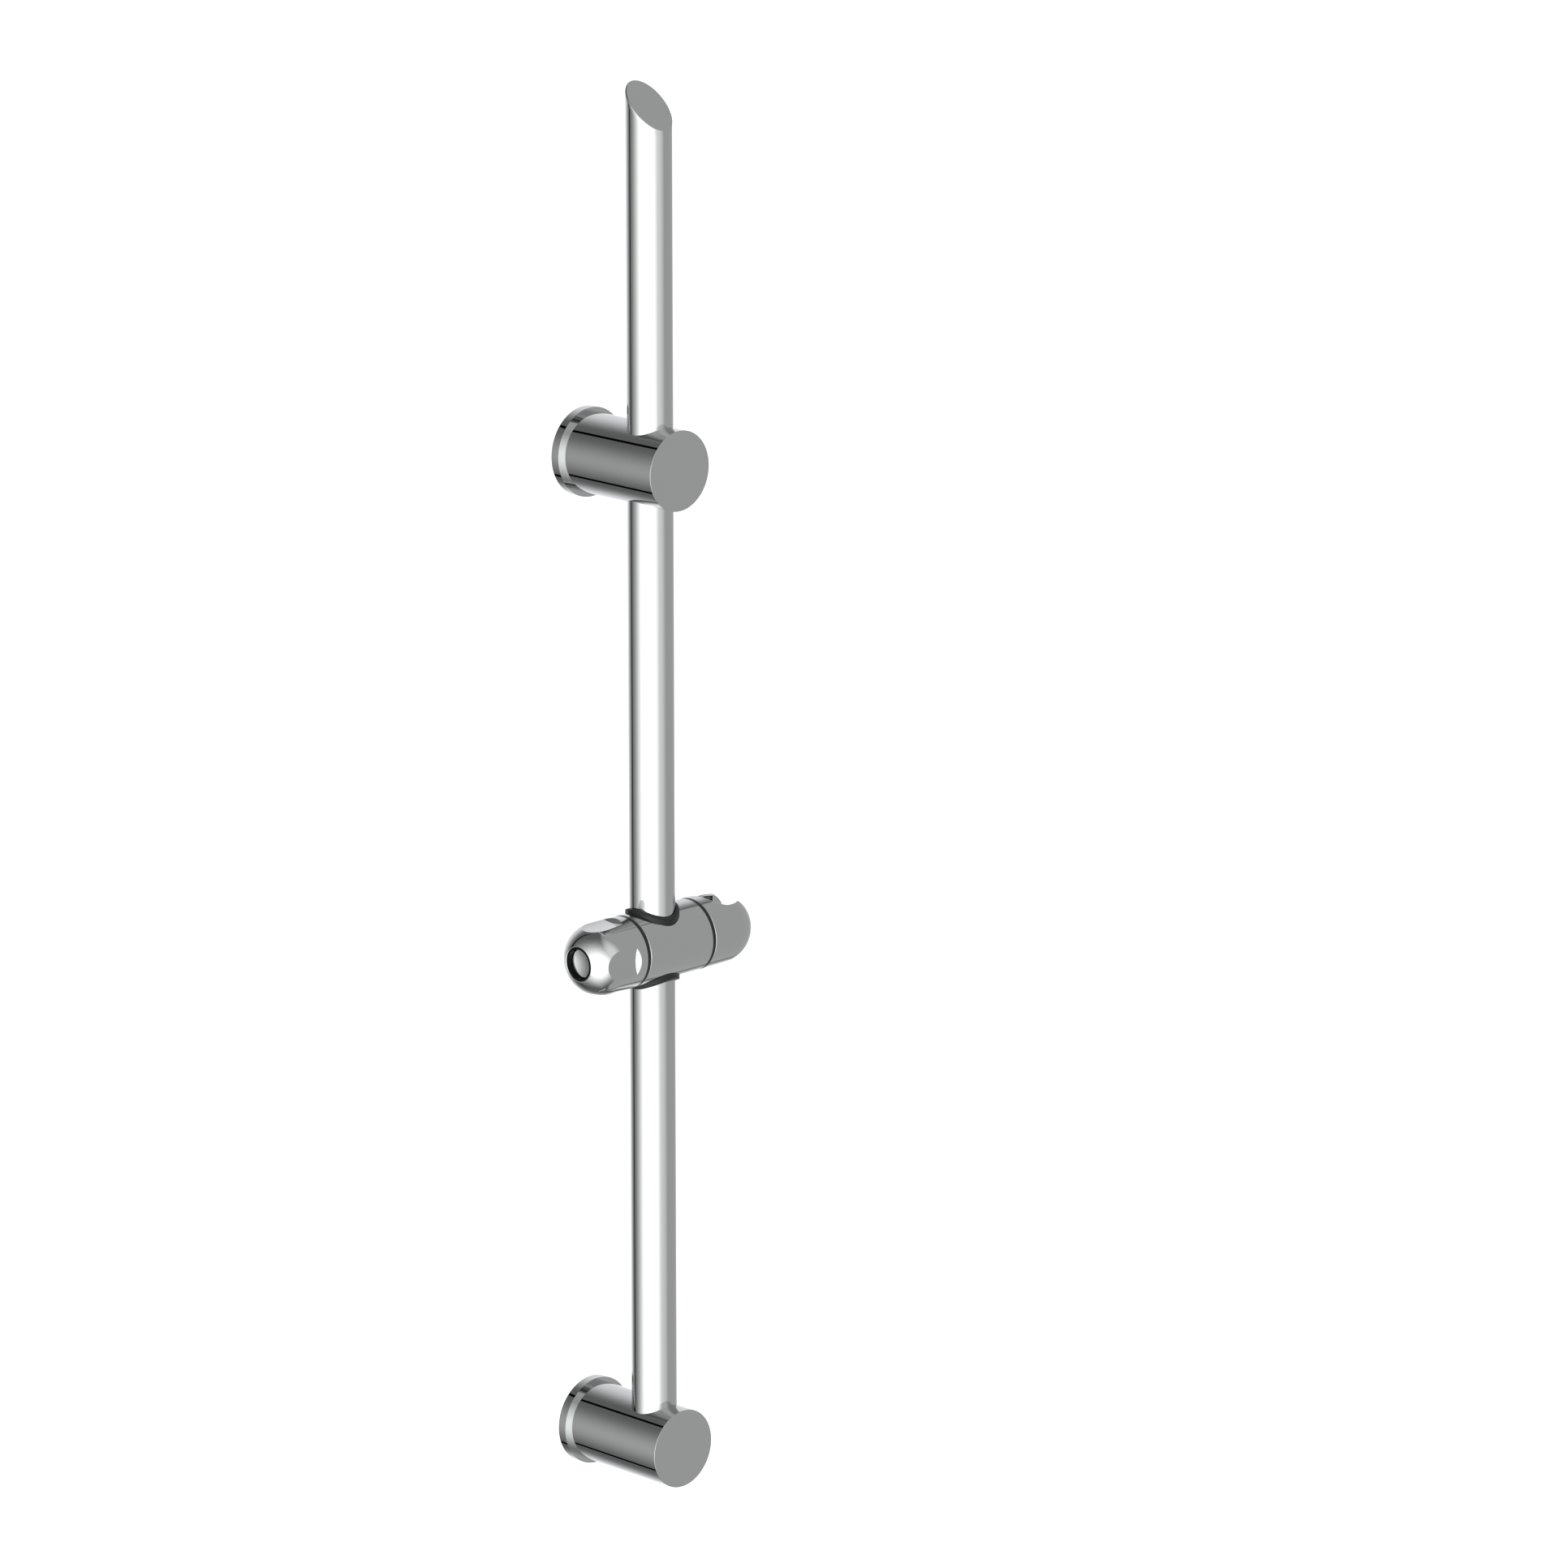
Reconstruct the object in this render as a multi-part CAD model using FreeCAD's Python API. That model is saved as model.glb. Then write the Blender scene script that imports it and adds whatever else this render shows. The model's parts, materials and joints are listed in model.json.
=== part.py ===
"""Shower slide rail: a round tube on two wall brackets, with a clamping slider that carries a handset.

Frame, in millimetres: the wall is the plane y = 0 and the room lies towards -Y. The origin is where the
lower bracket's axis meets the wall, +Z runs up the rail and +X points to the handset side of the slider.
"""

import FreeCAD
import Part

import math
import os

from FreeCAD import Vector

# Rail tube and its slanted cap
RAIL_DIAMETER = 25.0
RAIL_WALL = 1.2
RAIL_HEIGHT = 746.4  # middle of the slanted face above the lower bracket's axis
RAIL_SEAT_DEPTH = 14.0  # foot of the tube below the lower bracket's axis
RAIL_SLANT = 45.0  # degrees, the face looks away from the wall
CAP_THICKNESS = 2.0
CAP_PLUG_LENGTH = 10.0
CAP_EDGE = 0.8
WALL_TO_RAIL = 50.8

# Wall brackets
BRACKET_SPACING = 551.2
BRACKET_DIAMETER = 44.0
BRACKET_NOSE = 22.4  # front face ahead of the rail's axis
BRACKET_EDGE = 0.15
FLANGE_STEP = 2.6  # rim of the flange beyond the barrel
FLANGE_RIM = 5.0
FLANGE_CONE = 3.4  # axial length of the slope up to the barrel
FLANGE_EDGE = 0.3
FLANGE_LIP = 0.8  # wall of the flange on both sides of its seal
TAIL_STEP = 1.6  # shoulder down from the barrel to the tail inside the flange
TAIL_WALL = 4.6
TAIL_FROM_WALL = 0.5
SPIGOT_PAST_LOCK = 4.0  # spigot's end ahead of the lock screw's axis
SOCKET_ROOM = 5.0  # space for the wall screw's head ahead of the spigot
WALL_SCREW_DIAMETER = 5.5
WALL_SCREW_HEAD = 10.5
LOCK_SCREW_DIAMETER = 5.0
LOCK_SCREW_FROM_FLANGE = 5.0
LOCK_SCREW_SUNK = 0.6
LOCK_SCREW_KEY = 2.5
LOCK_GROOVE_DEPTH = 1.4
LOCK_TIP_GAP = 0.3  # point of the lock screw above the bottom of its groove
RAIL_SCREW_DIAMETER = 6.0
RAIL_SCREW_LENGTH = 10.0
RAIL_SCREW_KEY = 3.0
RAIL_SCREW_POINT = 1.0
SET_SCREW_KEY_DEPTH = 2.4
SEAL_DEPTH = 1.6

# Slider body, with its axis across the rail
SLIDER_HEIGHT = 284.4
SLIDER_DIAMETER = 40.0
BODY_LEFT = 20.2  # from the rail's axis to the knob end
BODY_RIGHT = 27.0  # from the rail's axis to the holder end
BODY_EDGE = 0.25
RING_WIDTH = 2.3  # the dark rings beside the knob and the holder
RING_SUNK = 0.15
BUSH_WALL = 2.0
BUSH_LIP = 2.3  # how far the bush stands out of the body
BUSH_EDGE = 0.8
GLIDE_LENGTH = 15.0
GLIDE_SLIT = 3.0

# Clamping knob
NECK_DIAMETER = 24.0
NECK_LENGTH = 13.0
CLIP_THICKNESS = 1.0
CLIP_DEPTH = 1.0
CLIP_FROM_END = 2.0
CLIP_MOUTH = 9.0
KNOB_BARREL = 18.1  # straight flank, from the dark ring to the dome
DOME_ROUND = 16.5  # radius of the dome's profile
SCALLOP_COUNT = 4
SCALLOP_DEPTH = 1.9  # at the foot of its end wall
SCALLOP_WIDTH = 14.8
SCALLOP_DRAFT = 2.8  # degrees, deeper towards the dome
SCALLOP_FROM_RING = 7.9
SCALLOP_RUNOUT = 33.0  # degrees, slope of the scallop's end wall
KNOB_EDGE = 0.25
EYE_DIAMETER = 18.8  # round recess in the end of the knob
EYE_DEPTH = 7.5
EYE_EDGE = 0.4
LINER_WALL = 1.2
LINER_FLOOR = 0.8
LINER_SUNK = 0.5
BUTTON_DIAMETER = 15.5  # dished cap in the recess
BUTTON_RIM = 3.1
BUTTON_DISH = 1.1
BUTTON_PIN_DIAMETER = 7.0
PLUNGER_SQUARE = 9.0
STEM_DIAMETER = 8.0
STEM_ENGAGED = 5.8  # length of stem inside the nut
NUT_ACROSS_FLATS = 12.0
NUT_LENGTH = 7.4

# Handset holder
HOLDER_REACH = 18.5  # from the dark ring to the socket's axis
SOCKET_DIAMETER = 22.1  # handset cone at the slider's axis
SOCKET_TAPER = 0.05  # growth of the radius per millimetre of height
SLOT_WIDTH = 18.2
MOUTH_EDGE = 0.7  # rounding along the socket's rims and the slot
HUB_DIAMETER = 18.0
HUB_LENGTH = 5.2
PIVOT_DIAMETER = 6.0
PIVOT_GRIP = 6.2  # thread inside the body
PIVOT_HEAD_DIAMETER = 10.4
PIVOT_HEAD_HEIGHT = 2.8
PIVOT_HEAD_SUNK = 0.5
PIVOT_KEY = 4.0
PIVOT_KEY_DEPTH = 1.6
SPRING_THICKNESS = 0.6

# Clearances
SLIDE_GAP = 0.3  # slider bushes round the rail
GLIDE_GAP = 0.15  # glide sleeve on the rail and in the body
RUN_GAP = 0.1  # turning fits
FIT_GAP = 0.05  # pushed and screwed fits
FACE_GAP = 0.05  # flat faces that turn on each other
SAME = 0.01  # two measures closer than this are the same

X = Vector(1, 0, 0)
Y = Vector(0, 1, 0)
Z = Vector(0, 0, 1)

rail_radius = RAIL_DIAMETER / 2
rail_y = -WALL_TO_RAIL
bracket_radius = BRACKET_DIAMETER / 2
flange_radius = bracket_radius + FLANGE_STEP
flange_depth = FLANGE_RIM + FLANGE_CONE
slider_radius = SLIDER_DIAMETER / 2
bush_bore = rail_radius + SLIDE_GAP
body_bore = bush_bore + BUSH_WALL + FIT_GAP
far = 4 * (BRACKET_DIAMETER + WALL_TO_RAIL + SLIDER_DIAMETER)  # longer than any cut needs


def rod(radius, start, direction, length):
    """A plain cylinder from a start point."""
    return Part.makeCylinder(radius, length, start, direction)


def tube(outer, inner, start, direction, length):
    """A hollow cylinder."""
    return rod(outer, start, direction, length).cut(rod(inner, start, direction, length))


def turned(edges, start, direction):
    """A solid turned round an axis from a closed outline of edges given as (along, radius) points.

    An edge is a pair of points, or three points for an arc through them.
    """
    lines = []
    for edge in edges:
        points = [Vector(*p) for p in edge]
        curve = Part.Arc(*points) if len(points) == 3 else Part.LineSegment(*points)
        lines.append(curve.toShape())
    side = X if abs(direction.dot(X)) < 0.5 else Z
    solid = Part.Face(Part.Wire(lines)).revolve(Vector(), X, 360)
    solid.Placement = FreeCAD.Placement(start, FreeCAD.Rotation(direction, side, direction.cross(side), "XYZ"))
    return solid


def outline(points):
    """The straight edges of a closed outline."""
    return list(zip(points, points[1:] + points[:1]))


def hexagon(across_flats, start, direction, length):
    """A hexagonal bar from a start point."""
    corner = across_flats / math.sqrt(3)
    side = X if abs(direction.dot(X)) < 0.5 else Z
    other = direction.cross(side)
    turns = [math.radians(60 * i) for i in range(7)]
    points = [start + side * (corner * math.cos(t)) + other * (corner * math.sin(t)) for t in turns]
    return Part.Face(Part.makePolygon(points)).extrude(direction * length)


def soften(shape, size, chosen):
    """Rounds the edges that the test picks."""
    return shape.makeFillet(size, [e for e in shape.Edges if not e.Degenerated and chosen(e)])


def round_edge_at(axis, place, radius):
    """A test for circular edges that lie in a plane across an axis, with a given radius."""

    def chosen(edge):
        curve = edge.Curve
        if not isinstance(curve, Part.Circle) or abs(curve.Radius - radius) > SAME:
            return False
        return abs(curve.Center.dot(axis) - place) < SAME

    return chosen


def set_screw(diameter, length, key, point, tip, direction):
    """A headless screw whose chamfered point lies at tip; direction runs from the point to the drive end."""
    radius = diameter / 2
    body = turned(
        outline([(0, 0), (0, radius - point), (point, radius), (length, radius), (length, 0)]),
        tip,
        direction,
    )
    key_foot = tip + direction * (length - SET_SCREW_KEY_DEPTH)
    return body.cut(hexagon(key, key_foot, direction, SET_SCREW_KEY_DEPTH))


def above(point, axis, tilt):
    """Everything above a plane through a point, tilted round an axis."""
    block = Part.makeBox(far, far, far, Vector(-far / 2, -far / 2, 0))
    block.rotate(Vector(), axis, tilt)
    block.translate(point)
    return block


def above_slant(drop):
    """Everything above the rail's slanted face, lowered by drop square to the face."""
    lowered = RAIL_HEIGHT - drop / math.cos(math.radians(RAIL_SLANT))
    return above(Vector(0, rail_y, lowered), X, RAIL_SLANT)


def rail_parts():
    """The tube, open at its slanted top, and the cap that plugs it."""
    foot = Vector(0, rail_y, -RAIL_SEAT_DEPTH)
    full = RAIL_HEIGHT + RAIL_SEAT_DEPTH + RAIL_DIAMETER
    bore = rail_radius - RAIL_WALL
    pipe = tube(rail_radius, bore, foot, Z, full).cut(above_slant(CAP_THICKNESS))

    plate = rod(rail_radius, foot, Z, full).common(above_slant(CAP_THICKNESS)).cut(above_slant(0))
    on_top = lambda e: e.CenterOfMass.z > RAIL_HEIGHT - SAME and e.Length > RAIL_DIAMETER
    plate = soften(plate, CAP_EDGE, on_top)
    slant_drop = rail_radius * math.tan(math.radians(RAIL_SLANT))
    plug_foot = RAIL_HEIGHT - slant_drop - CAP_PLUG_LENGTH
    plug = rod(bore - FIT_GAP, Vector(0, rail_y, plug_foot), Z, full - plug_foot)
    plug = plug.cut(above_slant(CAP_THICKNESS / 2))
    return {"rail_tube": pipe, "rail_top_cap": plate.fuse(plug).removeSplitter()}


def bracket_parts(name, height, rail_passes):
    """One wall bracket: barrel, flange, wall seal, wall spigot and its two set screws."""
    wall = Vector(0, 0, height)
    out = -Y
    tail_radius = bracket_radius - TAIL_STEP
    socket = tail_radius - TAIL_WALL
    barrel_front = WALL_TO_RAIL + BRACKET_NOSE
    lock_from_wall = flange_depth + LOCK_SCREW_FROM_FLANGE
    spigot_length = lock_from_wall + SPIGOT_PAST_LOCK

    body = rod(bracket_radius, wall + out * flange_depth, out, barrel_front - flange_depth)
    body = soften(body, BRACKET_EDGE, round_edge_at(-Y, barrel_front, bracket_radius))
    body = body.fuse(rod(tail_radius, wall + out * TAIL_FROM_WALL, out, flange_depth)).removeSplitter()
    body = body.cut(rod(socket, wall, out, spigot_length + SOCKET_ROOM))
    bore_foot = -far / 2 if rail_passes else -RAIL_SEAT_DEPTH - FACE_GAP
    body = body.cut(rod(rail_radius + FIT_GAP, Vector(0, rail_y, height + bore_foot), Z, far))
    body = body.cut(rod(RAIL_SCREW_DIAMETER / 2 + FIT_GAP, wall, out, WALL_TO_RAIL))
    lock_axis = wall + out * lock_from_wall
    body = body.cut(rod(LOCK_SCREW_DIAMETER / 2 + FIT_GAP, lock_axis, -Z, far))

    bore = tail_radius + FIT_GAP
    groove_in, groove_out = bore + FLANGE_LIP, flange_radius - FLANGE_LIP
    flange = turned(
        outline(
            [
                (0, bore),
                (flange_depth, bore),
                (flange_depth, bracket_radius),
                (FLANGE_RIM, flange_radius),
                (0, flange_radius),
                (0, groove_out),
                (SEAL_DEPTH, groove_out),
                (SEAL_DEPTH, groove_in),
                (0, groove_in),
            ]
        ),
        wall,
        out,
    )
    flange = soften(flange, FLANGE_EDGE, round_edge_at(-Y, FLANGE_RIM, flange_radius))
    seal = tube(groove_out - FIT_GAP, groove_in + FIT_GAP, wall, out, SEAL_DEPTH)

    spigot_radius = socket - FIT_GAP
    hole, head = WALL_SCREW_DIAMETER / 2, WALL_SCREW_HEAD / 2
    spigot = turned(
        outline(
            [
                (0, hole),
                (spigot_length - (head - hole), hole),
                (spigot_length, head),
                (spigot_length, spigot_radius),
                (lock_from_wall + LOCK_GROOVE_DEPTH, spigot_radius),
                (lock_from_wall, spigot_radius - LOCK_GROOVE_DEPTH),
                (lock_from_wall - LOCK_GROOVE_DEPTH, spigot_radius),
                (0, spigot_radius),
            ]
        ),
        wall,
        out,
    )

    lock_point = LOCK_SCREW_DIAMETER / 2 - FIT_GAP
    lock_tip = spigot_radius - LOCK_GROOVE_DEPTH + LOCK_TIP_GAP
    lock_length = bracket_radius - LOCK_SCREW_SUNK - lock_tip
    lock_place = lock_axis - Z * lock_tip
    lock = set_screw(LOCK_SCREW_DIAMETER, lock_length, LOCK_SCREW_KEY, lock_point, lock_place, -Z)
    grip_place = wall + out * (WALL_TO_RAIL - rail_radius - FIT_GAP)
    grip = set_screw(RAIL_SCREW_DIAMETER, RAIL_SCREW_LENGTH, RAIL_SCREW_KEY, RAIL_SCREW_POINT, grip_place, Y)

    return {
        f"{name}_bracket_body": body,
        f"{name}_wall_flange": flange,
        f"{name}_wall_seal": seal,
        f"{name}_wall_spigot": spigot,
        f"{name}_lock_screw": lock,
        f"{name}_rail_screw": grip,
    }


def on_axis(x):
    """A point on the slider's axis."""
    return Vector(x, rail_y, SLIDER_HEIGHT)


def slider_parts():
    """The slider's body with its neck, the bushes and glide on the rail, and the dark rings."""
    hub_radius = HUB_DIAMETER / 2
    neck_radius = NECK_DIAMETER / 2
    ring_radius = slider_radius - RING_SUNK

    body = rod(slider_radius, on_axis(-BODY_LEFT), X, BODY_LEFT + BODY_RIGHT)
    ends = (round_edge_at(X, -BODY_LEFT, slider_radius), round_edge_at(X, BODY_RIGHT, slider_radius))
    body = soften(body, BODY_EDGE, lambda e: any(chosen(e) for chosen in ends))
    body = body.fuse(rod(neck_radius, on_axis(-BODY_LEFT), -X, NECK_LENGTH)).removeSplitter()
    body = body.cut(rod(body_bore, on_axis(0) - Z * far / 2, Z, far))
    hole = PLUNGER_SQUARE + 2 * RUN_GAP
    corner = on_axis(-far) - (Y + Z) * hole / 2
    body = body.cut(Part.makeBox(far, hole, hole, corner))
    clip_x = -BODY_LEFT - NECK_LENGTH + CLIP_FROM_END
    groove_width = CLIP_THICKNESS + 2 * FIT_GAP
    body = body.cut(tube(slider_radius, neck_radius - CLIP_DEPTH, on_axis(clip_x), X, groove_width))
    hub_seat = HUB_LENGTH - RING_WIDTH + RUN_GAP
    body = body.cut(rod(hub_radius + RUN_GAP, on_axis(BODY_RIGHT), -X, hub_seat))
    body = body.cut(rod(PIVOT_DIAMETER / 2 + FIT_GAP, on_axis(BODY_RIGHT), -X, hub_seat + PIVOT_GRIP))

    clip_in = neck_radius - CLIP_DEPTH + FIT_GAP
    clip = tube(neck_radius + CLIP_DEPTH, clip_in, on_axis(clip_x + FIT_GAP), X, CLIP_THICKNESS)
    clip = clip.cut(Part.makeBox(far, CLIP_MOUTH, far, on_axis(-far / 2) - Y * CLIP_MOUTH / 2))

    knob_ring = tube(ring_radius, neck_radius + FIT_GAP, on_axis(-BODY_LEFT), -X, RING_WIDTH - FACE_GAP)
    holder_ring = tube(ring_radius, hub_radius + RUN_GAP, on_axis(BODY_RIGHT), X, RING_WIDTH - FACE_GAP)

    sleeve = tube(body_bore - FIT_GAP, bush_bore, on_axis(0), Z, far / 2)
    lip = rod(slider_radius + BUSH_LIP, on_axis(-far / 2), X, far)
    inner_end = GLIDE_LENGTH / 2 + FACE_GAP

    def lip_edge(edge):
        point = edge.valueAt((edge.FirstParameter + edge.LastParameter) / 2) - on_axis(0)
        on_lip = abs(math.hypot(point.y, point.z) - slider_radius - BUSH_LIP) < SAME
        return on_lip and abs(math.hypot(point.x, point.y) - body_bore + FIT_GAP) < SAME

    upper = soften(sleeve.common(lip), BUSH_EDGE, lip_edge)
    upper = upper.cut(Part.makeBox(far, far, inner_end, on_axis(-far / 2) - Y * far / 2))
    lower = upper.mirror(on_axis(0), Z)

    glide_foot = on_axis(0) - Z * GLIDE_LENGTH / 2
    glide = tube(body_bore - GLIDE_GAP, rail_radius + GLIDE_GAP, glide_foot, Z, GLIDE_LENGTH)
    slit = Part.makeBox(far, GLIDE_SLIT, far, on_axis(0) - Y * GLIDE_SLIT / 2 - Z * far / 2)
    return {
        "slider_body": body,
        "knob_retaining_clip": clip,
        "knob_ring": knob_ring,
        "holder_ring": holder_ring,
        "upper_rail_bush": upper,
        "lower_rail_bush": lower,
        "glide_sleeve": glide.cut(slit),
    }


def scallop(turn):
    """The cutter for one finger scallop of the knob, ending in a flat sloped wall beside the dark ring."""
    half = SCALLOP_WIDTH / 2
    floor = slider_radius - SCALLOP_DEPTH
    sag = math.sqrt(slider_radius**2 - half**2) - floor
    radius = (half**2 + sag**2) / (2 * sag)
    foot = on_axis(-BODY_LEFT - RING_WIDTH - SCALLOP_FROM_RING) + Z * floor
    cutter = rod(radius, foot + Z * radius + X * far / 2, -X, far)
    cutter.rotate(foot, Y, -SCALLOP_DRAFT)
    cutter = cutter.common(above(foot, Y, -SCALLOP_RUNOUT))
    cutter.rotate(on_axis(0), X, turn)
    return cutter


def knob_parts():
    """The scalloped knob, its nut and eye, and the square plunger that it drives against the glide."""
    start = BODY_LEFT + RING_WIDTH
    dome = start + KNOB_BARREL
    eye_radius = EYE_DIAMETER / 2
    dome_middle = slider_radius - DOME_ROUND
    dome_turn = math.acos((eye_radius - dome_middle) / DOME_ROUND)
    shoulder, rim = (dome + DOME_ROUND * math.sin(turn) for turn in (dome_turn / 2, dome_turn))
    shoulder_radius = dome_middle + DOME_ROUND * math.cos(dome_turn / 2)
    eye_floor = rim - EYE_DEPTH
    cavity = NECK_DIAMETER / 2 + RUN_GAP
    cavity_end = BODY_LEFT + NECK_LENGTH + RUN_GAP
    nut_start = cavity_end + RUN_GAP
    nut_end = nut_start + NUT_LENGTH
    pin_radius = BUTTON_PIN_DIAMETER / 2

    shell = turned(
        [
            ((start, cavity), (start, slider_radius)),
            ((start, slider_radius), (dome, slider_radius)),
            ((dome, slider_radius), (shoulder, shoulder_radius), (rim, eye_radius)),
            ((rim, eye_radius), (eye_floor, eye_radius)),
            ((eye_floor, eye_radius), (eye_floor, pin_radius + FIT_GAP)),
            ((eye_floor, pin_radius + FIT_GAP), (cavity_end, pin_radius + FIT_GAP)),
            ((cavity_end, pin_radius + FIT_GAP), (cavity_end, cavity)),
            ((cavity_end, cavity), (start, cavity)),
        ],
        on_axis(0),
        -X,
    )
    shell = soften(shell, KNOB_EDGE, round_edge_at(-X, start, slider_radius))
    shell = soften(shell, EYE_EDGE, round_edge_at(-X, rim, eye_radius))
    for i in range(SCALLOP_COUNT):
        shell = shell.cut(scallop(360 / SCALLOP_COUNT * i))
    pocket_depth = nut_end - cavity_end + FACE_GAP
    shell = shell.cut(hexagon(NUT_ACROSS_FLATS + 2 * FIT_GAP, on_axis(-cavity_end), -X, pocket_depth))
    clip_room = NECK_DIAMETER / 2 + CLIP_DEPTH + RUN_GAP
    clip_start = BODY_LEFT + NECK_LENGTH - CLIP_FROM_END - CLIP_THICKNESS - 2 * RUN_GAP
    shell = shell.cut(rod(clip_room, on_axis(-clip_start), -X, CLIP_THICKNESS + 4 * RUN_GAP))

    nut = hexagon(NUT_ACROSS_FLATS, on_axis(-nut_start), -X, NUT_LENGTH)
    nut = nut.cut(rod(STEM_DIAMETER / 2 + FIT_GAP, on_axis(0), -X, far))

    liner_out = eye_radius - FIT_GAP
    liner_in = liner_out - LINER_WALL
    floor_top = eye_floor + LINER_FLOOR
    liner = turned(
        outline(
            [
                (eye_floor, pin_radius + FIT_GAP),
                (eye_floor, liner_out),
                (rim - LINER_SUNK, liner_out),
                (rim - LINER_SUNK, liner_in),
                (floor_top, liner_in),
                (floor_top, pin_radius + FIT_GAP),
            ]
        ),
        on_axis(0),
        -X,
    )

    button_radius = BUTTON_DIAMETER / 2
    brim = floor_top + BUTTON_RIM
    dish_radius = (button_radius**2 + BUTTON_DISH**2) / (2 * BUTTON_DISH)
    half = button_radius / 2
    half_rise = dish_radius - math.sqrt(dish_radius**2 - half**2)
    button = turned(
        [
            ((nut_end + RUN_GAP, 0), (nut_end + RUN_GAP, pin_radius)),
            ((nut_end + RUN_GAP, pin_radius), (floor_top, pin_radius)),
            ((floor_top, pin_radius), (floor_top, button_radius)),
            ((floor_top, button_radius), (brim, button_radius)),
            ((brim, button_radius), (brim - BUTTON_DISH + half_rise, half), (brim - BUTTON_DISH, 0)),
            ((brim - BUTTON_DISH, 0), (nut_end + RUN_GAP, 0)),
        ],
        on_axis(0),
        -X,
    )

    block_end = BODY_LEFT + NECK_LENGTH / 2
    stem_end = nut_start + STEM_ENGAGED
    corner = on_axis(-block_end) - (Y + Z) * PLUNGER_SQUARE / 2
    square = Part.makeBox(block_end, PLUNGER_SQUARE, PLUNGER_SQUARE, corner)
    plunger = square.fuse(rod(STEM_DIAMETER / 2, on_axis(-block_end), -X, stem_end - block_end))
    plunger = plunger.cut(rod(body_bore - GLIDE_GAP + FIT_GAP, on_axis(0) - Z * far / 2, Z, far))
    return {
        "knob_shell": shell,
        "clamp_nut": nut,
        "knob_eye_liner": liner,
        "knob_button": button,
        "clamp_plunger": plunger,
    }


def holder_parts():
    """The handset holder with its tapered socket and hose slot, and the screw it tilts on."""
    start = BODY_RIGHT + RING_WIDTH
    middle = start + HOLDER_REACH
    hub_radius = HUB_DIAMETER / 2
    hub_end = start - HUB_LENGTH
    socket_radius = SOCKET_DIAMETER / 2
    knee = slider_radius * math.sin(math.radians(45))

    holder = turned(
        [
            ((hub_end, 0), (hub_end, hub_radius)),
            ((hub_end, hub_radius), (start, hub_radius)),
            ((start, hub_radius), (start, slider_radius)),
            ((start, slider_radius), (middle, slider_radius)),
            ((middle, slider_radius), (middle + knee, knee), (middle + slider_radius, 0)),
            ((middle + slider_radius, 0), (hub_end, 0)),
        ],
        on_axis(0),
        X,
    )
    reach = slider_radius + MOUTH_EDGE
    growth = reach * SOCKET_TAPER
    cone_foot = on_axis(middle) - Z * reach
    cone = Part.makeCone(socket_radius - growth, socket_radius + growth, 2 * reach, cone_foot, Z)
    slot = Part.makeBox(far, SLOT_WIDTH, far, on_axis(middle) - Y * SLOT_WIDTH / 2 - Z * far / 2)
    holder = holder.cut(cone.fuse(slot))

    def mouth_edge(edge):
        point = edge.valueAt((edge.FirstParameter + edge.LastParameter) / 2)
        centre = on_axis(min(point.x, middle))
        on_skin = abs((point - centre).Length - slider_radius) < SAME
        of_blank = abs(point.x - start) < SAME or abs(point.x - middle) < SAME
        return on_skin and not of_blank and not isinstance(edge.Curve, Part.Line)

    holder = soften(holder, MOUTH_EDGE, mouth_edge)
    holder = soften(holder, BODY_EDGE, round_edge_at(X, start, slider_radius))

    socket_wall = middle - socket_radius
    head_top = socket_wall - PIVOT_HEAD_SUNK
    head_seat = head_top - PIVOT_HEAD_HEIGHT - SPRING_THICKNESS - 2 * FACE_GAP
    pivot_radius = PIVOT_DIAMETER / 2
    holder = holder.cut(rod(pivot_radius + RUN_GAP, on_axis(hub_end), X, HOLDER_REACH))
    holder = holder.cut(rod(PIVOT_HEAD_DIAMETER / 2 + 2 * RUN_GAP, on_axis(head_seat), X, HOLDER_REACH))

    spring_start = head_seat + FACE_GAP
    spring_out = PIVOT_HEAD_DIAMETER / 2
    spring = tube(spring_out, pivot_radius + RUN_GAP, on_axis(spring_start), X, SPRING_THICKNESS)
    screw_end = BODY_RIGHT - (HUB_LENGTH - RING_WIDTH) - PIVOT_GRIP + RUN_GAP
    head_start = spring_start + SPRING_THICKNESS
    screw = rod(pivot_radius, on_axis(screw_end), X, head_start - screw_end)
    head = rod(PIVOT_HEAD_DIAMETER / 2, on_axis(head_start), X, PIVOT_HEAD_HEIGHT)
    screw = screw.fuse(head).removeSplitter()
    key_foot = on_axis(head_start + PIVOT_HEAD_HEIGHT - PIVOT_KEY_DEPTH)
    screw = screw.cut(hexagon(PIVOT_KEY, key_foot, X, PIVOT_KEY_DEPTH))
    return {"handset_holder": holder, "holder_pivot_screw": screw, "holder_spring_washer": spring}


def main():
    parts = {}
    parts.update(rail_parts())
    parts.update(bracket_parts("lower", 0, rail_passes=False))
    parts.update(bracket_parts("upper", BRACKET_SPACING, rail_passes=True))
    parts.update(slider_parts())
    parts.update(knob_parts())
    parts.update(holder_parts())
    os.makedirs("parts", exist_ok=True)
    for name, shape in parts.items():
        print(f"{name}: {len(shape.Solids)} solid, {shape.Volume:.1f} mm3, valid {shape.isValid()}")
        shape.exportStep(f"parts/{name}.step")


main()
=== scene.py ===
import json
import math

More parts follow.
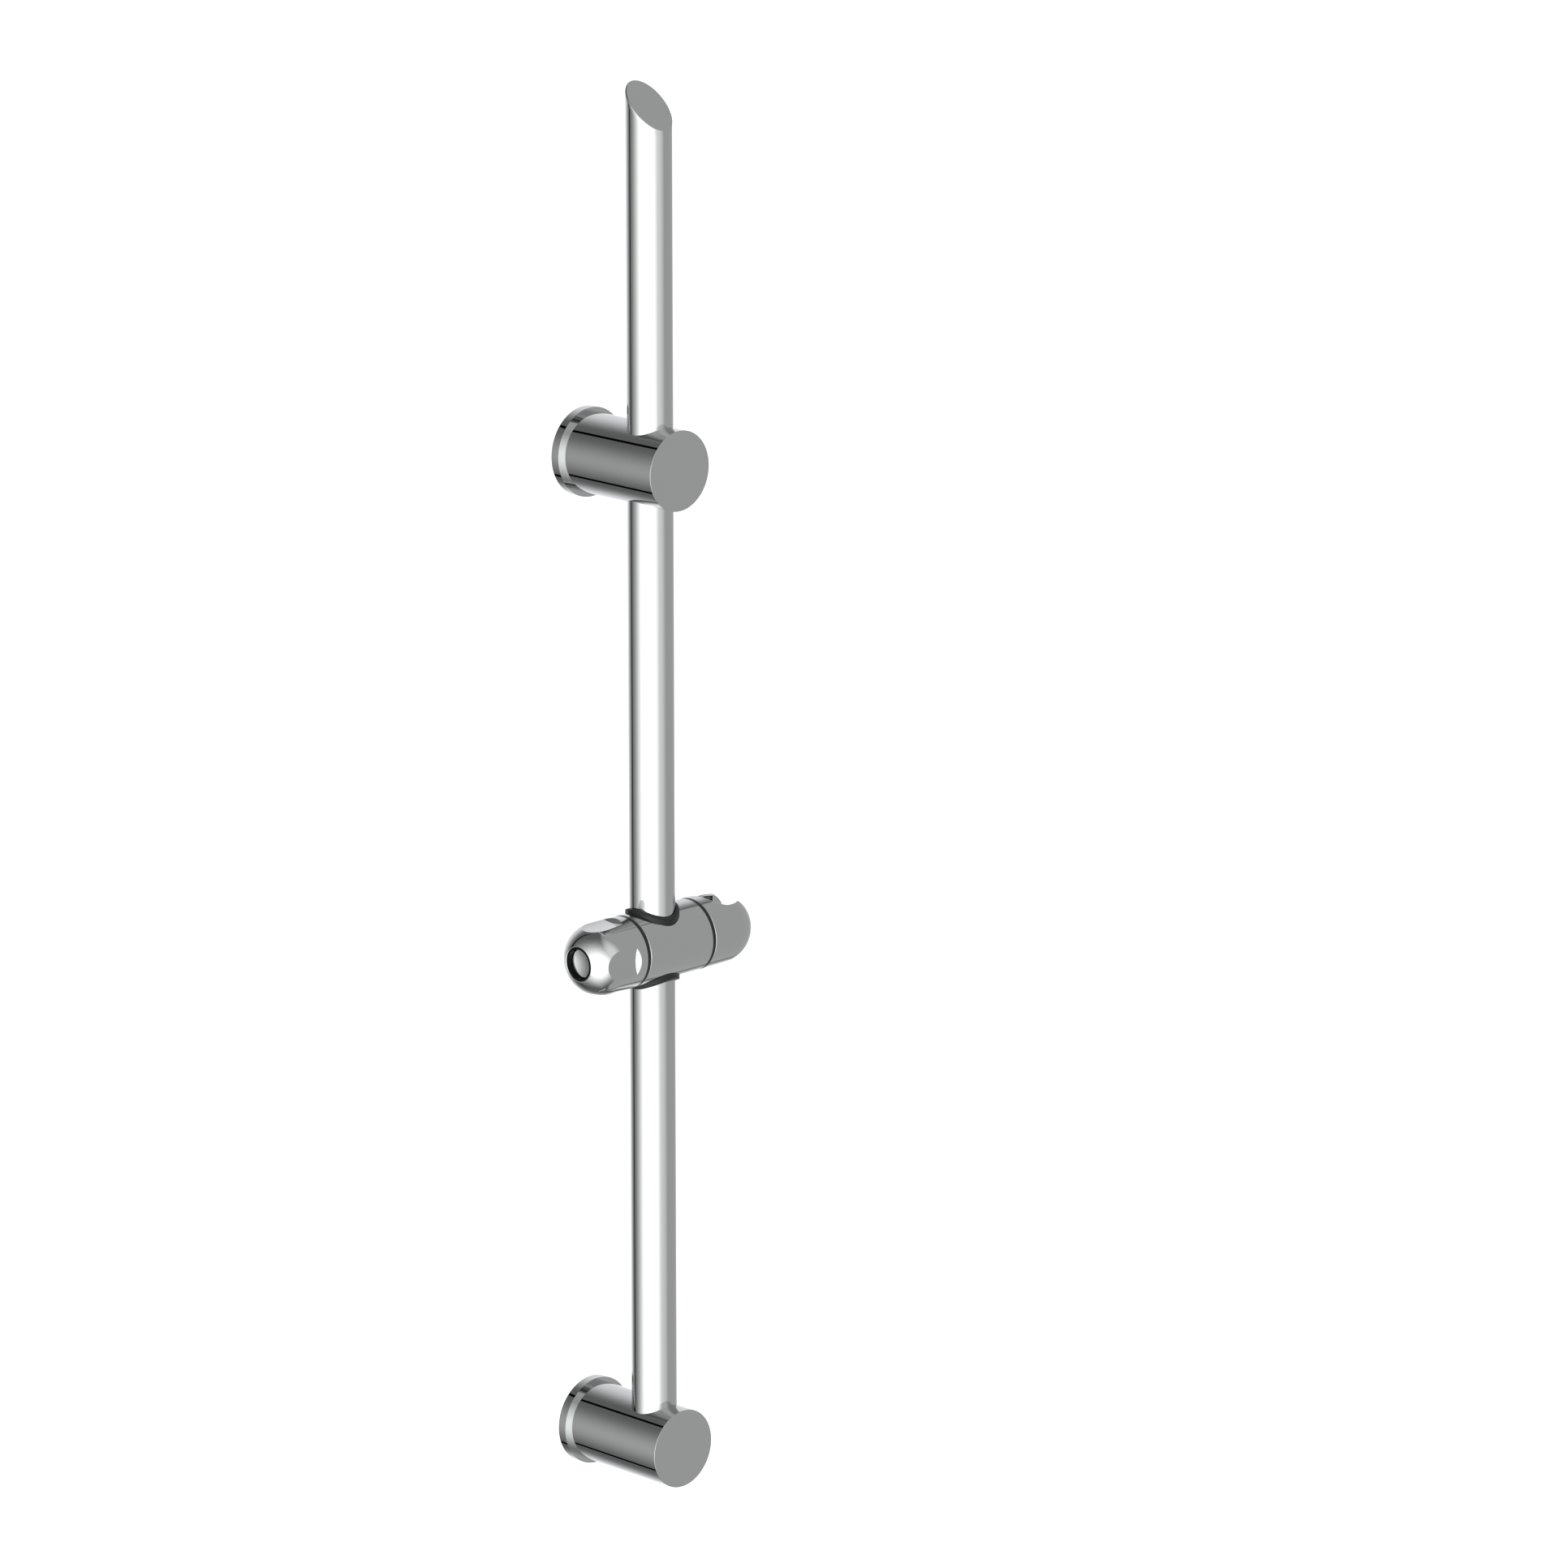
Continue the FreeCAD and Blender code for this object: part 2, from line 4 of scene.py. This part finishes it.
import bmesh
import bpy
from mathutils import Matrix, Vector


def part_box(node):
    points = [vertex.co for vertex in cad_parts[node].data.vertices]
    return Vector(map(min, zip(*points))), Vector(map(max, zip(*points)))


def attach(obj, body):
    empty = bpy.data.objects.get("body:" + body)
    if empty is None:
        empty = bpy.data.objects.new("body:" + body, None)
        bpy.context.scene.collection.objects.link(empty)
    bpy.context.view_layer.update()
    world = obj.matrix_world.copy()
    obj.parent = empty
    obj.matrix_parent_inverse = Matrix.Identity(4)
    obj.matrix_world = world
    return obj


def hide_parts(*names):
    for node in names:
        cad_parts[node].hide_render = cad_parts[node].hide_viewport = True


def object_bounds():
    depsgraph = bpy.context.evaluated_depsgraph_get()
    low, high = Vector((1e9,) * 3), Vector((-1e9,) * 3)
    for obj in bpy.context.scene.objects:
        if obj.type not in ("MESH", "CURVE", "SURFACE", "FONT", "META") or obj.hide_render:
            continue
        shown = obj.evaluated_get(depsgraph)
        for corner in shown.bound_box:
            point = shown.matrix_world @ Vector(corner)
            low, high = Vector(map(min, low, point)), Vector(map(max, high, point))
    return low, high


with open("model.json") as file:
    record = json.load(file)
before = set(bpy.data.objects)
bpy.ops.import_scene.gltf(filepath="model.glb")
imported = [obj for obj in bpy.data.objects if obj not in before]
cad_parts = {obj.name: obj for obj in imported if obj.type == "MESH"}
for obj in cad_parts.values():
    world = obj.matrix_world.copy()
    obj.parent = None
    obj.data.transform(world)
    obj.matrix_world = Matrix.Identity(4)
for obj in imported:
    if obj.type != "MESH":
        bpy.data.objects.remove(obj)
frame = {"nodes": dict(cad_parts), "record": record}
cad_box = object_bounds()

# Camera, in metres and radians, at the photograph's viewpoint
CAMERA_PLACE = (-2.94771, -3.06989, 1.49494)
CAMERA_YAW = 0.790395  # turned from +Y towards +X
CAMERA_PITCH = -0.25959
CAMERA_SENSOR = 36.0  # millimetres
CAMERA_FOCUS = 5.14881  # focal length over sensor width

# Floor and lamps, in metres
FLOOR_DROP = 0.35  # below the lowest point of the rail
FLOOR_SIZE = 60.0
FLOOR_COLOUR = (0.93, 0.93, 0.93, 1)
FLOOR_LIFT = 0.2  # glow that keeps the floor white to the eye
LAMP_SIZE = 3.0
LAMP_PLACE = (-2.2, -1.6, 3.4)
LAMP_POWER = 90.0

# Finishes. Chrome plate mirrors half of the light that meets it
WHITE = (1, 1, 1, 1)
CHROME_COLOUR = (0.495, 0.505, 0.5, 1)
CHROME_SHINE = 0.5
BLACK_COLOUR = (0.012, 0.012, 0.013, 1)
BLACK_SHEEN = {"Specular IOR Level": 0.25}
GLOSS_BLACK_COLOUR = (0.004, 0.004, 0.004, 1)
GLOSS_BLACK_SHEEN = {"Specular IOR Level": 0.06}
NYLON_COLOURS = ((0.78, 0.77, 0.72, 1), (0.85, 0.84, 0.8, 1))
STEEL_COLOURS = ((0.42, 0.42, 0.42, 1), (0.58, 0.58, 0.58, 1))
BRASS_COLOURS = ((0.62, 0.45, 0.2, 1), (0.78, 0.6, 0.32, 1))
ALUMINIUM_COLOURS = ((0.58, 0.58, 0.59, 1), (0.7, 0.7, 0.71, 1))
RUBBER_COLOURS = ((0.022, 0.022, 0.022, 1), (0.045, 0.045, 0.045, 1))
GRAIN_DEPTH = 0.0001  # metres
FLOOR_ROUGHNESS = 0.9

# Studio round the rail. Bearings and heights are in degrees as seen from the rail, with bearing 0
# along +X and 90 into the wall. A card fades out from its core to its reach, with an oval outline
# where corner is 2 and a squarer one above that. Brightness is as the chrome shows it, 1 being white.
HALF_TURN = 180
FULL_TURN = 360
SURROUND = 0.339
DISPLAY_GAMMA = 2.2
FRONT_SOFTBOX = dict(bearing=210.2, height=-9.5, reach=(110.5, 93.3), core=0.03, corner=2, bright=1.24)
SIDE_SOFTBOX = dict(bearing=263, height=13.2, reach=(78, 105), core=0.18, corner=2, bright=0.804)
BACK_SOFTBOX = dict(bearing=56, height=-2.7, reach=(59, 74.5), core=0.36, corner=2, bright=0.764)
GREY_CARD = dict(bearing=333, height=10, reach=(46.8, 88.6), core=0.93, corner=8, bright=0.573)
BLACK_FLAG = dict(bearing=112.5, height=0, reach=(3.2, 72), core=0.63, corner=8)
BACK_TINT = (0.955, 0.96, 1, 1)

# Wall flanges, in metres from the wall
FLANGE_CUT = 0.004  # where the straight rim is cut off and carried on
FLANGE_FACE = 0.0053  # flat front face round the barrel

# Copies of CAD nodes
SAME_POINT = 1e-6  # metres
SMOOTH_BELOW = math.radians(30)
LARGE_FACES_FIRST = 100  # the strongest weight that Weighted Normal has


class Wire:
    """A socket in a node tree: arithmetic on it adds Math nodes, and add() makes any other node."""

    def __init__(self, tree, socket=None):
        self.tree = tree
        self.socket = socket

    def add(self, kind, settings=None, inputs=None, output=0):
        node = self.tree.nodes.new(kind)
        for name, value in (settings or {}).items():
            setattr(node, name, value)
        for name, value in (inputs or {}).items():
            if isinstance(value, Wire):
                self.tree.links.new(value.socket, node.inputs[name])
            else:
                node.inputs[name].default_value = value
        return Wire(self.tree, node.outputs[output] if node.outputs else None)

    def maths(self, operation, *values):
        return self.add("ShaderNodeMath", {"operation": operation}, dict(enumerate(values)))

    def __add__(self, other):
        return self.maths("ADD", self, other)

    def __radd__(self, other):
        return self.maths("ADD", other, self)

    def __sub__(self, other):
        return self.maths("SUBTRACT", self, other)

    def __rsub__(self, other):
        return self.maths("SUBTRACT", other, self)

    def __mul__(self, other):
        return self.maths("MULTIPLY", self, other)

    def __rmul__(self, other):
        return self.maths("MULTIPLY", other, self)

    def __truediv__(self, other):
        return self.maths("DIVIDE", self, other)

    def __mod__(self, other):
        return self.maths("FLOORED_MODULO", self, other)

    def __pow__(self, other):
        return self.maths("POWER", self, other)

    def __abs__(self):
        return self.maths("ABSOLUTE", self)

    def larger(self, other):
        return self.maths("MAXIMUM", self, other)


def new_tree(owner):
    """The empty node tree of a material or world."""
    owner.use_nodes = True
    owner.node_tree.nodes.clear()
    return Wire(owner.node_tree)


# Finishes
def surface(name, colour, metallic=0.0, **sockets):
    """A material on a Principled shader, with the tree and the object coordinates to vary it by."""
    material = bpy.data.materials.new(name)
    tree = new_tree(material)
    place = tree.add("ShaderNodeTexCoord", None, None, "Object")
    return material, tree, place, dict({"Base Color": colour, "Metallic": metallic}, **sockets)


def close(tree, sockets):
    """Ends a material's tree with its Principled shader."""
    shader = tree.add("ShaderNodeBsdfPrincipled", None, sockets)
    tree.add("ShaderNodeOutputMaterial", None, {"Surface": shader})


def noise(tree, place, scale, detail):
    return tree.add("ShaderNodeTexNoise", None, {"Vector": place, "Scale": scale, "Detail": detail}, "Fac")


def between(share, low, high):
    """A value that goes from low to high as a share goes from 0 to 1."""
    return low + share * (high - low)


def mixed(tree, factor, one, other):
    sockets = {"Factor": factor, "A": one, "B": other}
    return tree.add("ShaderNodeMix", {"data_type": "RGBA"}, sockets, "Result")


def bump(tree, height, strength):
    relief = {"Height": height, "Strength": strength, "Distance": GRAIN_DEPTH}
    return tree.add("ShaderNodeBump", None, relief)


def chrome(name):
    """Polished chrome plate: almost a mirror, with faint polishing haze."""
    material, tree, place, sockets = surface(name, CHROME_COLOUR, metallic=1.0)
    haze = noise(tree, place, scale=90.0, detail=4.0)
    sockets["Roughness"] = between(haze, low=0.02, high=0.045)
    close(tree, sockets)
    return material


def black_plastic(name):
    """Satin black moulding with a fine spark-eroded grain."""
    material, tree, place, sockets = surface(name, BLACK_COLOUR, **BLACK_SHEEN)
    grain = noise(tree, place, scale=2600.0, detail=3.0)
    sockets["Roughness"] = between(grain, low=0.3, high=0.45)
    sockets["Normal"] = bump(tree, grain, strength=0.15)
    close(tree, sockets)
    return material


def gloss_black(name):
    """The smooth, shiny moulding that lines the eye of the knob."""
    material, tree, place, sockets = surface(name, GLOSS_BLACK_COLOUR, **GLOSS_BLACK_SHEEN)
    wave = noise(tree, place, scale=150.0, detail=2.0)
    sockets["Roughness"] = between(wave, low=0.06, high=0.12)
    close(tree, sockets)
    return material


def natural_nylon(name):
    """Undyed, slightly cloudy moulding."""
    material, tree, place, sockets = surface(name, WHITE)
    cloud = noise(tree, place, scale=60.0, detail=3.0)
    sockets["Base Color"] = mixed(tree, cloud, *NYLON_COLOURS)
    sockets["Roughness"] = between(cloud, low=0.4, high=0.5)
    close(tree, sockets)
    return material


def turned_metal(name, dull, bright):
    """Machined metal with fine tool marks."""
    material, tree, place, sockets = surface(name, bright, metallic=1.0)
    marks = noise(tree, place, scale=900.0, detail=4.0)
    sockets["Base Color"] = mixed(tree, marks, dull, bright)
    sockets["Roughness"] = between(marks, low=0.22, high=0.4)
    sockets["Normal"] = bump(tree, marks, strength=0.1)
    close(tree, sockets)
    return material


def seal_rubber(name):
    """Matt black rubber with a faint bloom."""
    material, tree, place, sockets = surface(name, BLACK_COLOUR)
    bloom = noise(tree, place, scale=200.0, detail=4.0)
    sockets["Base Color"] = mixed(tree, bloom, *RUBBER_COLOURS)
    sockets["Roughness"] = between(bloom, low=0.6, high=0.8)
    close(tree, sockets)
    return material


FINISHES = {
    "rail_chrome": chrome("rail chrome plate"),
    "bracket_chrome": chrome("bracket chrome plate"),
    "slider_chrome": chrome("slider chrome plate"),
    "black_plastic": black_plastic("black moulding"),
    "white_nylon": natural_nylon("natural nylon"),
    "screw_steel": turned_metal("turned steel", *STEEL_COLOURS),
    "nut_brass": turned_metal("turned brass", *BRASS_COLOURS),
    "spigot_metal": turned_metal("turned aluminium", *ALUMINIUM_COLOURS),
    "seal_rubber": seal_rubber("seal rubber"),
}

OWN_FINISHES = {"knob_eye_liner": gloss_black("gloss black moulding")}


def dress_nodes():
    """Gives every CAD node its own finish, or that of its material slot."""
    for part in frame["record"]["subparts"]:
        node = frame["nodes"][part["node"]]
        for slot in node.material_slots:
            slot.material = OWN_FINISHES.get(part["node"], FINISHES[part["material_slot"]])


# Pieces shown in place of a CAD node
def copy_of(node, name, slot):
    """A merged copy of a CAD node, selected in edit mode, in the finish of a material slot."""
    piece = bpy.data.objects.new(name, frame["nodes"][node].data.copy())
    piece.data.materials.clear()
    piece.data.materials.append(FINISHES[slot])
    bpy.context.scene.collection.objects.link(piece)
    bpy.ops.object.select_all(action="DESELECT")
    bpy.context.view_layer.objects.active = piece
    piece.select_set(True)
    bpy.ops.mesh.customdata_custom_splitnormals_clear()
    bpy.ops.object.mode_set(mode="EDIT")
    bpy.ops.mesh.select_mode(type="EDGE")
    bpy.ops.mesh.select_all(action="SELECT")
    bpy.ops.mesh.remove_doubles(threshold=SAME_POINT)
    return piece


def put_in_place(piece, node, body):
    """Shades a finished piece by its larger faces, and shows it in place of its CAD node."""
    bpy.ops.object.mode_set(mode="OBJECT")
    bpy.ops.object.shade_smooth_by_angle(angle=SMOOTH_BELOW)
    bpy.ops.object.modifier_add(type="WEIGHTED_NORMAL")
    weighted = piece.modifiers[-1]
    weighted.weight = LARGE_FACES_FIRST
    weighted.keep_sharp = True
    bpy.ops.object.modifier_apply(modifier=weighted.name)
    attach(piece, body)
    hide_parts(node)


def even_shaded(node, name, body, slot):
    """A CAD node's own form, with its round walls shaded true up to their small fillets."""
    put_in_place(copy_of(node, name, slot), node, body)


def from_axis(point, centre):
    """Distance of a point from a bracket's axis."""
    return math.hypot(point.x - centre[0], point.z - centre[1])


def pull_ring(centre, depth, radius, start):
    """Extrudes the selected ring from its start, a depth and a radius, to a new depth and radius."""
    forward = {"value": (0, start[0] - depth, 0)}
    bpy.ops.mesh.extrude_region_move(TRANSFORM_OT_translate=forward)
    grow = radius / start[1]
    bpy.ops.transform.resize(value=(grow, 1, grow), center_override=(centre[0], -depth, centre[1]))
    return depth, radius


def flat_flange(side, body):
    """A wall flange with a flat front face, and a collar that carries on the barrel in front of it."""
    node = f"{side}_wall_flange"
    low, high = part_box(node)
    barrel_low, barrel_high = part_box(f"{side}_bracket_body")
    rim = (high[0] - low[0]) / 2
    barrel = (barrel_high[0] - barrel_low[0]) / 2
    centre = (low[0] + rim, low[2] + rim)
    flange = copy_of(node, f"{side}_flat_flange", "bracket_chrome")
    bpy.ops.mesh.bisect(plane_co=(0, -FLANGE_CUT, 0), plane_no=(0, -1, 0), clear_outer=True)
    mesh = bmesh.from_edit_mesh(flange.data)
    cut = [edge for edge in mesh.edges if edge.select]
    bore = min(from_axis(edge.verts[0].co, centre) for edge in cut)
    for edge in cut:
        edge.select_set(from_axis(edge.verts[0].co, centre) > (bore + rim) / 2)
    bmesh.update_edit_mesh(flange.data)
    ring = (FLANGE_CUT, rim)
    for depth, radius in ((FLANGE_FACE, rim), (FLANGE_FACE, barrel), (-low[1], barrel), (-low[1], bore)):
        ring = pull_ring(centre, depth, radius, ring)
    bpy.ops.mesh.select_all(action="DESELECT")
    bpy.ops.mesh.select_non_manifold(use_wire=False, use_multi_face=False, use_non_contiguous=False)
    bpy.ops.mesh.bridge_edge_loops()
    bpy.ops.mesh.select_all(action="SELECT")
    bpy.ops.mesh.normals_make_consistent(inside=False)
    put_in_place(flange, node, body)


# Studio
def card_cover(bearing, height, card):
    """How much of a soft-edged card lies in a direction, from 0 to 1."""
    turn = abs((bearing - card["bearing"] + HALF_TURN) % FULL_TURN - HALF_TURN) / card["reach"][0]
    rise = abs(height - card["height"]) / card["reach"][1]
    away = (turn ** card["corner"] + rise ** card["corner"]) ** (1 / card["corner"])
    ends = {"Value": away, "From Min": 1.0, "From Max": card["core"]}
    return away.add("ShaderNodeMapRange", {"interpolation_type": "SMOOTHSTEP"}, ends)


def make_world():
    """White to the eye, and a studio of cards and softboxes for what the chrome mirrors."""
    world = bpy.data.worlds.new("studio")
    bpy.context.scene.world = world
    tree = new_tree(world)
    way = tree.add("ShaderNodeTexCoord", None, None, "Generated")
    split = {axis: tree.add("ShaderNodeSeparateXYZ", None, {"Vector": way}, axis) for axis in "XYZ"}
    bearing = tree.maths("ARCTAN2", split["Y"], split["X"]) * math.degrees(1)
    height = tree.maths("ARCSINE", split["Z"]) * math.degrees(1)
    bright = SURROUND
    for card in (FRONT_SOFTBOX, SIDE_SOFTBOX, BACK_SOFTBOX, GREY_CARD):
        lit = SURROUND + card_cover(bearing, height, card) * (card["bright"] - SURROUND)
        bright = lit.larger(bright)
    bright = bright * (1 - card_cover(bearing, height, BLACK_FLAG))
    tint = mixed(tree, card_cover(bearing, height, BACK_SOFTBOX), WHITE, BACK_TINT)
    light = bright**DISPLAY_GAMMA / CHROME_SHINE
    mirrored = tree.add("ShaderNodeBackground", None, {"Color": tint, "Strength": light})
    plain = tree.add("ShaderNodeBackground", None, {"Color": WHITE, "Strength": 1.0})
    glossy = tree.add("ShaderNodeLightPath", None, None, "Is Glossy Ray")
    shown = tree.add("ShaderNodeMixShader", None, {0: glossy, 1: plain, 2: mirrored})
    tree.add("ShaderNodeOutputWorld", None, {"Surface": shown})


def make_floor():
    """A wide pale floor below the rail, which the chrome doesn't mirror."""
    bpy.ops.object.select_all(action="DESELECT")
    height = cad_box[0][2] - FLOOR_DROP
    bpy.ops.mesh.primitive_plane_add(size=FLOOR_SIZE, location=(0, 0, height))
    floor = bpy.context.object
    floor.name = "floor"
    bpy.ops.object.transform_apply()
    floor.visible_glossy = False
    material = bpy.data.materials.new("pale floor")
    tree = new_tree(material)
    seen = tree.add("ShaderNodeLightPath", None, None, "Is Camera Ray")
    lift = {"Emission Color": seen, "Emission Strength": FLOOR_LIFT}
    close(tree, {"Base Color": FLOOR_COLOUR, "Roughness": FLOOR_ROUGHNESS, **lift})
    floor.data.materials.append(material)


def make_lamp():
    """A large soft lamp in front of the rail, aimed at its middle."""
    data = bpy.data.lights.new("softbox lamp", "AREA")
    data.size = LAMP_SIZE
    data.energy = LAMP_POWER
    lamp = bpy.data.objects.new("softbox lamp", data)
    lamp.location = LAMP_PLACE
    aim = lamp.location.copy()
    aim.z -= cad_box[1][2] / 2
    lamp.rotation_euler = aim.to_track_quat("Z", "Y").to_euler()
    lamp.visible_glossy = False
    bpy.context.scene.collection.objects.link(lamp)


def make_camera():
    """The camera at the photograph's viewpoint."""
    data = bpy.data.cameras.new("camera")
    data.sensor_width = CAMERA_SENSOR
    data.lens = CAMERA_SENSOR * CAMERA_FOCUS
    camera = bpy.data.objects.new("camera", data)
    camera.location = CAMERA_PLACE
    camera.rotation_euler = (math.pi / 2 + CAMERA_PITCH, 0, -CAMERA_YAW)
    bpy.context.scene.collection.objects.link(camera)
    bpy.context.scene.camera = camera


dress_nodes()
flat_flange("lower", "rail")
flat_flange("upper", "upper_bracket")
even_shaded("rail_top_cap", "rail_end_cap", "rail", "rail_chrome")
make_world()
make_floor()
make_lamp()
make_camera()
bpy.context.scene.view_settings.view_transform = "Standard"
